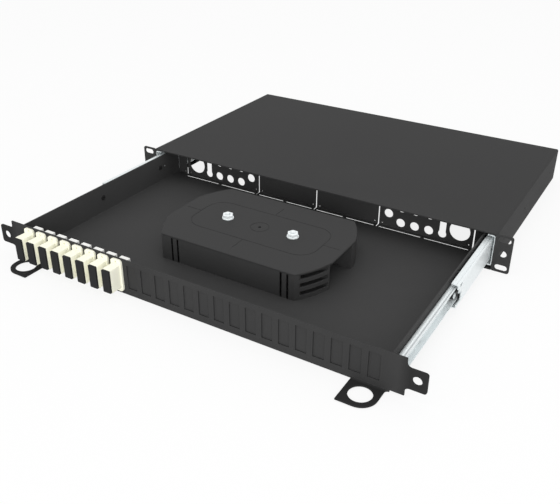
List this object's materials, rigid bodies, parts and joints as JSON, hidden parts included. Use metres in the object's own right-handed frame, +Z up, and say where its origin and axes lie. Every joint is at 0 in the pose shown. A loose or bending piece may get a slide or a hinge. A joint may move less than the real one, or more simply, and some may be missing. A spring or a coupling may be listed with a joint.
{
  "type": "sliding fibre patch drawer",
  "caption": "Rack-mount fibre patch drawer on telescopic ball slides, with duplex adapters, blanks, a splice cassette and break-out cable plates.",
  "frame": {"origin": "centre of the four rack slots, on the back face of the cover's ears", "axes": "X to the right seen from the front, Y into the rack, Z up; the drawer opens along -Y"},
  "size_m": [0.4826, 0.54, 0.0426],
  "materials": {
    "cover_paint": "fine matt black powder coat",
    "drawer_paint": "fine matt black powder coat",
    "zinc_steel": "bright zinc plate, rolled",
    "ball_steel": "polished bearing steel",
    "cage_steel": "zinc-plated strip",
    "lever_plastic": "moulded black plastic",
    "ivory_plastic": "moulded ivory plastic",
    "cap_plastic": "moulded black plastic",
    "rear_cap_plastic": "moulded off-white plastic",
    "clip_steel": "spring steel",
    "cassette_plastic": "moulded dark grey plastic, fine texture",
    "holder_plastic": "soft moulded black plastic",
    "nut_zinc": "bright zinc plate"
  },
  "bodies": {
    "cover": {"top_cover": "cover_paint", "cover_rivets": "cover_paint", "slide_outer_right": "zinc_steel", "slide_outer_left": "zinc_steel"},
    "drawer": {"slide_inner_right": "zinc_steel", "rear_plate_blank_right": "drawer_paint", "rear_plate_holed_right": "drawer_paint", "slide_inner_left": "zinc_steel", "rear_plate_blank_left": "drawer_paint", "rear_plate_holed_left": "drawer_paint", "lever_pins": "zinc_steel", "drawer_rivets": "zinc_steel", "drawer_tray": "drawer_paint", "tray_flanges": "drawer_paint", "rear_plate_feet": "drawer_paint", "front_panel": "drawer_paint", "blank_plates": "drawer_paint", "adapter_1": "ivory_plastic", "adapter_cap_1": "cap_plastic", "adapter_2": "ivory_plastic", "adapter_cap_2": "cap_plastic", "adapter_3": "ivory_plastic", "adapter_cap_3": "cap_plastic", "adapter_4": "ivory_plastic", "adapter_cap_4": "cap_plastic", "adapter_5": "ivory_plastic", "adapter_cap_5": "cap_plastic", "adapter_6": "ivory_plastic", "adapter_cap_6": "cap_plastic", "adapter_7": "ivory_plastic", "adapter_cap_7": "cap_plastic", "adapter_8": "ivory_plastic", "adapter_cap_8": "cap_plastic", "rear_caps": "rear_cap_plastic", "adapter_clips": "clip_steel", "splice_tray_1": "cassette_plastic", "splice_tray_2": "cassette_plastic", "splice_tray_3": "cassette_plastic", "splice_holders": "holder_plastic", "cassette_lid": "cassette_plastic", "cassette_studs": "nut_zinc", "cassette_nuts": "nut_zinc"},
    "slide_carrier_right": {"slide_middle_right": "zinc_steel"},
    "outer_balls_right": {"ball_cage_outer_right": "cage_steel", "balls_outer_right": "ball_steel"},
    "inner_balls_right": {"ball_cage_inner_right": "cage_steel", "balls_inner_right": "ball_steel"},
    "lever_right": {"release_lever_right": "lever_plastic"},
    "slide_carrier_left": {"slide_middle_left": "zinc_steel"},
    "outer_balls_left": {"ball_cage_outer_left": "cage_steel", "balls_outer_left": "ball_steel"},
    "inner_balls_left": {"ball_cage_inner_left": "cage_steel", "balls_inner_left": "ball_steel"},
    "lever_left": {"release_lever_left": "lever_plastic"}
  },
  "joints": [
    {"name": "drawer_slide", "type": "slide", "parent": "cover", "child": "drawer", "axis": [0, 1, 0], "range_m": [-0.017, 0.233]},
    {"name": "carrier_slide_right", "type": "slide", "parent": "cover", "child": "slide_carrier_right", "axis": [0, 1, 0], "range_m": [-0.0085, 0.1165]},
    {"name": "outer_cage_roll_right", "type": "slide", "parent": "cover", "child": "outer_balls_right", "axis": [0, 1, 0], "range_m": [-0.00425, 0.05825]},
    {"name": "inner_cage_roll_right", "type": "slide", "parent": "cover", "child": "inner_balls_right", "axis": [0, 1, 0], "range_m": [-0.01275, 0.17475]},
    {"name": "lever_pivot_right", "type": "hinge", "parent": "drawer", "child": "lever_right", "pos_m": [0.2135, -0.0987, -0.0017], "axis": [1, 0, 0], "range_deg": [-4, 4], "stiffness_Nm_per_rad": 0.05},
    {"name": "carrier_slide_left", "type": "slide", "parent": "cover", "child": "slide_carrier_left", "axis": [0, 1, 0], "range_m": [-0.0085, 0.1165]},
    {"name": "outer_cage_roll_left", "type": "slide", "parent": "cover", "child": "outer_balls_left", "axis": [0, 1, 0], "range_m": [-0.00425, 0.05825]},
    {"name": "inner_cage_roll_left", "type": "slide", "parent": "cover", "child": "inner_balls_left", "axis": [0, 1, 0], "range_m": [-0.01275, 0.17475]},
    {"name": "lever_pivot_left", "type": "hinge", "parent": "drawer", "child": "lever_left", "pos_m": [-0.2135, -0.0987, -0.0017], "axis": [1, 0, 0], "range_deg": [-4, 4], "stiffness_Nm_per_rad": 0.05}
  ],
  "couplings": [
    {"joint": "carrier_slide_right", "follows": "drawer_slide", "ratio": 0.5},
    {"joint": "outer_cage_roll_right", "follows": "drawer_slide", "ratio": 0.25},
    {"joint": "inner_cage_roll_right", "follows": "drawer_slide", "ratio": 0.75},
    {"joint": "carrier_slide_left", "follows": "drawer_slide", "ratio": 0.5},
    {"joint": "outer_cage_roll_left", "follows": "drawer_slide", "ratio": 0.25},
    {"joint": "inner_cage_roll_left", "follows": "drawer_slide", "ratio": 0.75}
  ]
}
